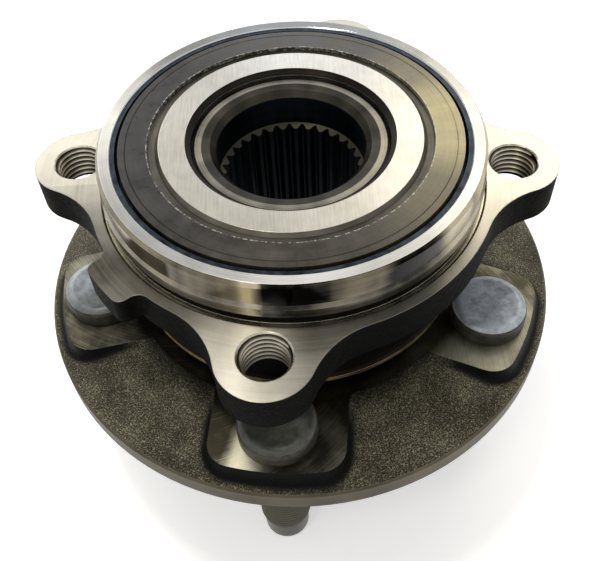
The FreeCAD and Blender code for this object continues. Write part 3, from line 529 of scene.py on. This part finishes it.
def hubFinish(span):
    s = hub
    if span["outer"] < s["toothRadius"] and span["low"] > s["toothLow"] and span["up"] > s["toothUp"]:
        return "toothEnd"
    if span["outer"] < s["toothRadius"] and span["low"] > s["boreLow"]:
        return "bore"
    if span["low"] > s["faceLow"]:
        return "spindleFace"
    if span["low"] > s["endLow"] and span["outer"] < s["endRadius"]:
        return "spindle"
    if span["inner"] < s["raceRadius"] and span["low"] > s["raceLow"]:
        return "race"
    if span["up"] > s["padUp"] and span["low"] > turnedFace - s["closeSlack"]:
        return "pad"
    if span["inner"] > s["edgeRadius"] and span["high"] < s["edgeTop"]:
        return "edge"
    if span["low"] > s["skinLow"] and span["inner"] > s["skinRadius"]:
        return "padSide" if span["up"] < s["skinUp"] else "blast"
    return "wheelSide"


def innerRingFinish(span):
    if span["low"] > rim - innerRing["slack"]:
        return "face"
    if span["low"] < innerRing["raceTop"]:
        return "race"
    return "side" if span["outer"] < innerRing["boreRadius"] else "collar"


paint("outer_ring", {"rim": rimSteel, "ear": earSteel, "pilot": pilotSteel, "band": bandSteel,
                     "scale": scaleSteel, "land": landReflectionSteel, "groove": grooveSteel, "race": raceSteel,
                     "tapped": tappedFinish, "chamfer": chamferSteel, "undercut": undercutSteel},
      outerRingFinish)
paint("hub_spindle", {"bore": boreSteel, "toothEnd": toothEndSteel, "spindle": spindleSteel,
                      "spindleFace": spindleFaceSteel, "race": raceSteel, "pad": padSteel, "edge": edgeSteel,
                      "blast": blastSteel, "padSide": padSideShadeSteel, "wheelSide": wheelSideSteel}, hubFinish)
paint("inner_ring", {"face": groundSteel, "side": grooveSteel, "collar": collarSteel, "race": raceSteel},
      innerRingFinish)
for words, finish in (("seal_case", caseFinish), ("seal_lip", lipFinish), ("slinger", slingerFinish),
                      ("encoder_ring", encoderFinish), ("cage", cageFinish), ("_ball_", ballFinish)):
    for name, node in nodes.items():
        if words in name:
            node.data.materials.clear()
            node.data.materials.append(finish)
print("CAD nodes finished")

studs = {"count": 5, "circle": 54.0, "firstAngle": -97.8}
flange = {"rootRadius": 46.0, "edgeRadius": 68.4, "edgeHeight": 6.6,  # the cone that falls to the edge
          "innerRadius": 44.5, "outerRadius": 68.44, "thickness": 0.5, "around": 1080, "across": 86,
          "halfWidth": 16.7, "reach": 65.2, "corner": 6.5, "draft": 15.0,  # a pad's outline and side
          "foot": 2.4, "edgeRound": 0.3, "clear": 0.08, "snap": 0.2, "proud": 0.03,
          "sink": 0.16, "sinkStart": 0.02, "sinkWidth": 0.3, "rootSinkWidth": 0.8,  # below pads and root
          # painted shade on the sides and feet of the pads
          "hollowStart": -0.4, "hollowSide": 0.3, "hollowFoot": 0.5, "hollowFade": 1.2, "hollowHeight": 1.5,
          "shade": 0.75, "shadeEnd": 50.5, "shadeWidth": 4.0}  # painted shade close to the outer ring


def clamp(value):
    return min(1, max(0, value))


def smoothMax(a, b, blend):
    # The larger of two heights, with a fillet where they meet
    near = max(blend - abs(a - b), 0) / blend
    return max(a, b) + near * near * blend / 4


def padDistance(x, y):
    # How far a point lies outside the outline of the nearest stud pad, in mm; negative inside it
    f = flange
    radius = math.hypot(x, y)
    pitch = 360 / studs["count"]
    turn = math.degrees(math.atan2(y, x)) - studs["firstAngle"]
    turn = math.radians(abs((turn + pitch / 2) % pitch - pitch / 2))
    along, aside = radius * math.cos(turn), radius * math.sin(turn)
    cornerAside = f["halfWidth"] - f["corner"]
    cornerAlong = math.sqrt((f["reach"] - f["corner"]) ** 2 - cornerAside ** 2)
    if along < cornerAlong or aside * cornerAlong < along * cornerAside:
        return max(aside - f["halfWidth"], radius - f["reach"])
    return math.hypot(along - cornerAlong, aside - cornerAside) - f["corner"]


def onOutline(x, y):
    # Moves a point that lies close to a pad's outline onto it, so that the pad's edge is a clean line
    away, step = padDistance(x, y), 0.01
    if abs(away) > flange["snap"] or math.hypot(x, y) < flange["rootRadius"]:
        return x, y
    slopeX = (padDistance(x + step, y) - away) / step
    slopeY = (padDistance(x, y + step) - away) / step
    return x - away * slopeX, y - away * slopeY


def flangeTop(x, y):
    # Height of the forged flange, and how much painted shade the point gets: 1 deep in a corner, 0 in the
    # open
    f = flange
    radius = math.hypot(x, y)
    share = (radius - f["rootRadius"]) / (f["edgeRadius"] - f["rootRadius"])
    cone = turnedFace - max(share, 0) * (turnedFace - f["edgeHeight"])
    away = padDistance(x, y)
    side = turnedFace - (away - f["clear"]) / math.tan(math.radians(f["draft"]))
    pad = -smoothMax(-turnedFace, -side, f["edgeRound"])
    height = min(smoothMax(cone, pad, f["foot"]), turnedFace) + f["proud"]
    sunk = max(clamp((f["sinkStart"] - away) / f["sinkWidth"]),
               clamp((f["rootRadius"] - radius) / f["rootSinkWidth"]))
    step = turnedFace - cone
    hollow = 0
    if away > f["hollowStart"]:
        reach = f["hollowSide"] * step + f["hollowFoot"]  # the side of the pad and the fillet at its foot
        hollow = clamp((reach + f["hollowFade"] - away) / f["hollowFade"]) * clamp(step / f["hollowHeight"])
    hollow = max(hollow, f["shade"] * clamp((f["shadeEnd"] - radius) / f["shadeWidth"]))
    return height - f["sink"] * sunk, hollow


def flangeSkin():
    # A closed ring of skin over the solid flange, with its painted shade stored for the material
    f = flange
    around = f["around"]
    top, bottom, hollows = [], [], []
    for i in range(f["across"] + 1):
        radius = f["innerRadius"] + (f["outerRadius"] - f["innerRadius"]) * i / f["across"]
        for j in range(around):
            turn = 2 * math.pi * j / around
            x, y = onOutline(radius * math.cos(turn), radius * math.sin(turn))
            z, hollow = flangeTop(x, y)
            top.append((x * mm, y * mm, z * mm))
            bottom.append((x * mm, y * mm, (z - f["thickness"]) * mm))
            hollows.append(hollow)
    below, last = len(top), f["across"] * around
    faces, walls = [], []
    for i in range(f["across"]):
        for j in range(around):
            a, b = i * around + j, i * around + (j + 1) % around
            faces.append((a, a + around, b + around, b))
    under = [tuple(reversed([v + below for v in face])) for face in faces[:around] + faces[-around:]]
    for j in range(around):
        k = (j + 1) % around
        walls += [(j, k, below + k, below + j), (last + k, last + j, below + last + j, below + last + k)]
    mesh = bpy.data.meshes.new("flange skin")
    mesh.from_pydata(top + bottom, [], faces + under + walls)
    mesh.attributes.new("hollow", "FLOAT", "POINT").data.foreach_set("value", hollows + hollows)
    mesh.materials.append(blastSteel)
    return mesh


def spiralTree(name):
    # A ridge that winds up the Z axis and runs out at both ends, for rolled and tapped threads
    tree = bpy.data.node_groups.new(name, "GeometryNodeTree")
    for label, kind in (("Radius", "Float"), ("Ridge", "Float"), ("Pitch", "Float"), ("Length", "Float"),
                        ("RunOut", "Float"), ("Steps", "Int"), ("Finish", "Material")):
        tree.interface.new_socket(label, in_out="INPUT", socket_type="NodeSocket" + kind)
    tree.interface.new_socket("Geometry", in_out="OUTPUT", socket_type="NodeSocketGeometry")
    given = addNode(tree, "NodeGroupInput").outputs
    turns = addNode(tree, "ShaderNodeMath", {"operation": "DIVIDE"}, {0: given["Length"], 1: given["Pitch"]})
    spiral = addNode(tree, "GeometryNodeCurveSpiral", links={
        "Resolution": given["Steps"], "Rotations": turns.outputs[0], "Start Radius": given["Radius"],
        "End Radius": given["Radius"], "Height": given["Length"]})
    level = addNode(tree, "GeometryNodeSetCurveNormal", {"mode": "Z_UP"}, {"Curve": spiral.outputs[0]})
    along = addNode(tree, "GeometryNodeSplineParameter").outputs["Factor"]
    back = addNode(tree, "ShaderNodeMath", {"operation": "SUBTRACT", 0: 1.0}, {1: along})
    nearEnd = addNode(tree, "ShaderNodeMath", {"operation": "MINIMUM"}, {0: along, 1: back.outputs[0]})
    size = addNode(tree, "ShaderNodeMapRange", {"To Min": 0.1, "To Max": 1.0},
                   {"Value": nearEnd.outputs[0], "From Max": given["RunOut"]})
    profile = addNode(tree, "GeometryNodeCurvePrimitiveCircle", {"Resolution": 4}, {"Radius": given["Ridge"]})
    swept = addNode(tree, "GeometryNodeCurveToMesh", {"Fill Caps": True},
                    {"Curve": level.outputs[0], "Profile Curve": profile.outputs["Curve"],
                     "Scale": size.outputs[0]})
    real = addNode(tree, "GeometryNodeRealizeInstances", links={0: swept.outputs[0]})
    finished = addNode(tree, "GeometryNodeSetMaterial",
                       links={"Geometry": real.outputs[0], "Material": given["Finish"]})
    addNode(tree, "NodeGroupOutput", links={0: finished.outputs[0]})
    return tree


def grow(name, tree, values):
    # Runs a Geometry Nodes tree and returns its result as a plain mesh
    holder = bpy.data.objects.new(name + " holder", bpy.data.meshes.new(name + " holder"))
    bpy.context.scene.collection.objects.link(holder)
    modifier = holder.modifiers.new(name, "NODES")
    modifier.node_group = tree
    for item in tree.interface.items_tree:
        if item.in_out == "INPUT":
            modifier[item.identifier] = values[item.name]
    shown = holder.evaluated_get(bpy.context.evaluated_depsgraph_get())
    mesh = bpy.data.meshes.new_from_object(shown)
    bpy.data.objects.remove(holder)
    return mesh


def markCrest(mesh, share):
    # Stores how near each vertex lies to a thread's crest, as share gives it from radius and height in mm
    values = [share(math.hypot(v.co.x, v.co.y) / mm, v.co.z / mm) for v in mesh.vertices]
    mesh.attributes.new("crest", "FLOAT", "POINT").data.foreach_set("value", values)


def addPiece(name, mesh, body, smoothAngle=35):
    # Links a finished mesh at the origin as a piece of the object
    made = bpy.data.objects.new(name, mesh)
    bpy.context.scene.collection.objects.link(made)
    for polygon in mesh.polygons:
        polygon.use_smooth = True
    mesh.set_sharp_from_angle(angle=math.radians(smoothAngle))
    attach(made, body)
    return made


def onCircle(circle, turn, height):
    # Placement on a circle about the axis; circle and height in mm, turn in radians
    return Matrix.Translation((circle * mm * math.cos(turn), circle * mm * math.sin(turn), height * mm))


def lathe(profile, steps):
    # Mesh of a profile (radius, height in mm) turned about Z; a radius of 0 closes it on the axis
    mesh = bpy.data.meshes.new("lathe")
    work = bmesh.new()
    turns = [2 * math.pi * i / steps for i in range(steps)]
    rings = []
    for radius, height in profile:
        rings.append([work.verts.new((radius * mm * math.cos(turn), radius * mm * math.sin(turn),
                                      height * mm)) for turn in (turns if radius else turns[:1])])
    for lower, upper in zip(rings, rings[1:]):
        for i in range(steps):
            j = (i + 1) % steps
            corners = dict.fromkeys((lower[i % len(lower)], lower[j % len(lower)],
                                     upper[j % len(upper)], upper[i % len(upper)]))
            if len(corners) > 2:
                work.faces.new(list(corners))
    bmesh.ops.recalc_face_normals(work, faces=work.faces)
    work.to_mesh(mesh)
    work.free()
    return mesh


def joined(name, parts):
    # One mesh from several, each with its own placement; keeps their materials
    mesh = bpy.data.meshes.new(name)
    work = bmesh.new()
    materials = []
    for part, placement in parts:
        start = len(work.faces)
        work.from_mesh(part)
        work.faces.ensure_lookup_table()
        fresh = work.faces[start:]
        bmesh.ops.transform(work, matrix=placement, verts=list({v for f in fresh for v in f.verts}))
        for face in fresh:
            material = part.materials[face.material_index]
            if material not in materials:
                materials.append(material)
            face.material_index = materials.index(material)
    work.to_mesh(mesh)
    work.free()
    for material in materials:
        mesh.materials.append(material)
    return mesh


addPiece("flangeForging", flangeSkin(), "hub", 60)
print("flange forging made")

# Lists of pairs run along the profile: how far in from the radius and how far from the end, in mm
stud = {"shank": 7.0, "core": 6.15, "knurl": 7.2, "nose": 6.15, "tip": -42.0, "steps": 56,
        "noseRound": [(2.0, 0.0), (1.6, 0.12), (0.25, 1.5), (0.05, 1.9), (0.0, 2.4)],
        "threadFoot": -1.2, "threadEnd": -33.2, "footRunOut": 0.8, "endRunOut": 0.5,
        "pitch": 1.5, "ridgeRadius": 6.25, "ridge": 0.73, "ridgeRunOut": 0.06, "ridgeSteps": 36,
        "crestRadius": 6.6, "plainFoot": 0.7, "plainEnd": 0.4, "plainTone": 0.6,
        "headRadius": 9.75, "headTop": 16.3, "seat": 0.1, "seatRound": [(0.4, 0.0), (0.1, 0.12), (0.0, 0.5)],
        "bevel": 2.0, "bevelSteps": 5, "dish": [(0.7, 0.0), (1.3, 0.12)], "dishFlat": 3.0, "dishDepth": 0.16}


def studMesh(threads):
    # Guide end, threaded shank, knurl and head in one profile, with the wound thread round the shank
    s = stud
    profile = [(0, s["tip"])] + [(s["nose"] - inset, s["tip"] + rise) for inset, rise in s["noseRound"]]
    profile += [(s["nose"], s["threadEnd"] - s["endRunOut"]), (s["core"], s["threadEnd"]),
                (s["core"], s["threadFoot"] - s["footRunOut"]), (s["shank"], s["threadFoot"]),
                (s["shank"], 0.0), (s["knurl"], 0.0), (s["knurl"], turnedFace - s["seat"])]
    profile += [(s["headRadius"] - inset, turnedFace + rise) for inset, rise in s["seatRound"]]
    for i in range(s["bevelSteps"] + 1):
        turn = math.radians(90 / s["bevelSteps"] * i)
        profile.append((s["headRadius"] - s["bevel"] * (1 - math.cos(turn)),
                        s["headTop"] - s["bevel"] * (1 - math.sin(turn))))
    profile += [(s["headRadius"] - s["bevel"] - inset, s["headTop"] - drop) for inset, drop in s["dish"]]
    profile += [(radius, s["headTop"] - s["dishDepth"]) for radius in (s["dishFlat"], 0)]
    body = lathe(profile, s["steps"])
    for finish in (zincFinish, threadFinish, zincSideFinish):
        body.materials.append(finish)
    for polygon in body.polygons:
        if polygon.center.z < 0:
            polygon.material_index = 1
        elif polygon.center.z < (s["headTop"] - s["bevel"] / 2) * mm:
            polygon.material_index = 2
    shift = Matrix.Translation((0, 0, s["threadEnd"] * mm))
    return joined("stud", [(body, Matrix.Identity(4)), (threads, shift)])


def studCrest(radius, height):
    # Painted light on the crests, painted shade in the roots, and between the two where there is no thread
    if height > stud["threadFoot"] - stud["plainFoot"] or height < stud["threadEnd"] - stud["plainEnd"]:
        return stud["plainTone"]
    return 1.0 if radius > stud["crestRadius"] else 0.0


threadTree = spiralTree("wound ridge")
outerThread = grow("stud thread", threadTree, {
    "Radius": stud["ridgeRadius"] * mm, "Ridge": stud["ridge"] * mm, "Pitch": stud["pitch"] * mm,
    "Length": (stud["threadFoot"] - stud["threadEnd"]) * mm, "RunOut": stud["ridgeRunOut"],
    "Steps": stud["ridgeSteps"], "Finish": threadFinish})
oneStud = studMesh(outerThread)
markCrest(oneStud, studCrest)
for number in range(studs["count"]):
    turn = math.radians(studs["firstAngle"] + 360 / studs["count"] * number)
    mesh = oneStud.copy()
    mesh.transform(onCircle(studs["circle"], turn, 0) @ Matrix.Rotation(turn, 4, "Z"))
    piece = addPiece("stud%d" % (number + 1), mesh, "hub")
    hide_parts("wheel_stud_%d" % (number + 1))
print("studs made")

tapped = {"pitch": 1.5, "ridgeRadius": 5.93, "ridge": 0.73, "top": 43.5, "length": 9.0, "runOut": 0.02,
          "steps": 40, "crestRadius": 5.5}
innerThread = grow("tapped thread", threadTree, {
    "Radius": tapped["ridgeRadius"] * mm, "Ridge": tapped["ridge"] * mm, "Pitch": tapped["pitch"] * mm,
    "Length": tapped["length"] * mm, "RunOut": tapped["runOut"], "Steps": tapped["steps"],
    "Finish": tappedFinish})
markCrest(innerThread, lambda radius, height: 1.0 if radius < tapped["crestRadius"] else 0.0)
for index, angle in enumerate(outerRing["earAngles"]):
    mesh = innerThread.copy()
    mesh.transform(onCircle(outerRing["earCircle"], math.radians(angle), tapped["top"] - tapped["length"]))
    addPiece("earThread%d" % (index + 1), mesh, "outer_ring")
print("ear threads made")

# The studs stand on the floor; the paper glows and the sky is brighter to the eye than on the part
studio = {"floorHalf": 3.0, "floorHeight": cadBox[0][2], "paperGlow": 0.45, "skyLight": 0.5, "skySeen": 1.0}


def seenRay(tree):
    # 1 for what the camera sees, also by way of metal or glass
    path = addNode(tree, "ShaderNodeLightPath").outputs
    either = addNode(tree, "ShaderNodeMath", {"operation": "MAXIMUM"},
                     {0: path["Is Camera Ray"], 1: path["Is Glossy Ray"]})
    return addNode(tree, "ShaderNodeMath", {"operation": "MAXIMUM"},
                   {0: either.outputs[0], 1: path["Is Transmission Ray"]}).outputs[0]


def studioPaper():
    # Matt white paper: no gleam, only the soft shadow
    made, tree, shader = startMaterial("white studio paper", {
        "Base Color": linear("#f4f4f4"), "Roughness": 0.9, "Specular IOR Level": 0.0,
        "Emission Color": linear("#ffffff")})
    glow = addNode(tree, "ShaderNodeMath", {"operation": "MULTIPLY", 1: studio["paperGlow"]},
                   {0: seenRay(tree)})
    feed(tree, shader, {"Emission Strength": glow.outputs[0]})
    return made


floorMesh = bpy.data.meshes.new("floor")
floorMesh.from_pydata([(x * studio["floorHalf"], y * studio["floorHalf"], studio["floorHeight"])
                       for x, y in ((-1, -1), (1, -1), (1, 1), (-1, 1))], [], [(0, 1, 2, 3)])
floorMesh.materials.append(studioPaper())
floor = bpy.data.objects.new("floor", floorMesh)
bpy.context.scene.collection.objects.link(floor)

world = bpy.data.worlds.new("studio")
bpy.context.scene.world = world
world.use_nodes = True
tree = world.node_tree
tree.nodes.clear()
strength = addNode(tree, "ShaderNodeMix", {"data_type": "FLOAT", 2: studio["skyLight"], 3: studio["skySeen"]},
                   {0: seenRay(tree)})
sky = addNode(tree, "ShaderNodeBackground", {"Color": linear("#ffffff")}, {"Strength": strength.outputs[0]})
addNode(tree, "ShaderNodeOutputWorld", links={"Surface": sky.outputs[0]})

lampAim = Vector((0, 0, 0.03))
softBoxes = [
    # name, place in m, side in m, power in W, colour
    ("window right", (0.42, 0.78, 0.78), 0.5, 3.0, "#fff8e8"),
    ("window back", (0.05, 1.15, 0.72), 0.35, 1.1, "#dfe7ff"),
    ("window left", (-0.55, 0.95, 0.62), 0.45, 3.6, "#fffefa"),
    ("ceiling lamp", (-0.2, 0.1, 1.05), 0.12, 2.6, "#fffaf0"),
    ("front lamp", (-0.3, -0.45, 0.95), 0.16, 0.9, "#fff6e0"),
]
for name, place, side, power, tint in softBoxes:
    lamp = bpy.data.lights.new(name, "AREA")
    lamp.size = side
    lamp.energy = power
    lamp.color = linear(tint)[:3]
    made = bpy.data.objects.new(name, lamp)
    made.matrix_world = (Matrix.Translation(place)
                         @ (lampAim - Vector(place)).to_track_quat("-Z", "Y").to_matrix().to_4x4())
    bpy.context.scene.collection.objects.link(made)

# One camera fitted to the rims, bores and holes: place in m, angles in degrees
photo = {"place": (-0.001158, -0.14965, 0.18724), "pitch": 51.21, "roll": -3.54, "width": 39.33}
camera = bpy.data.cameras.new("camera")
camera.sensor_fit = "HORIZONTAL"
camera.sensor_width = 36.0
camera.angle = math.radians(photo["width"])
camera.clip_start = 0.01
cameraObject = bpy.data.objects.new("camera", camera)
cameraObject.matrix_world = (Matrix.Translation(photo["place"])
                             @ Matrix.Rotation(math.radians(90 - photo["pitch"]), 4, "X")
                             @ Matrix.Rotation(math.radians(photo["roll"]), 4, "Z"))
bpy.context.scene.collection.objects.link(cameraObject)
bpy.context.scene.camera = cameraObject
bpy.context.scene.view_settings.view_transform = "Standard"
print("stage set")
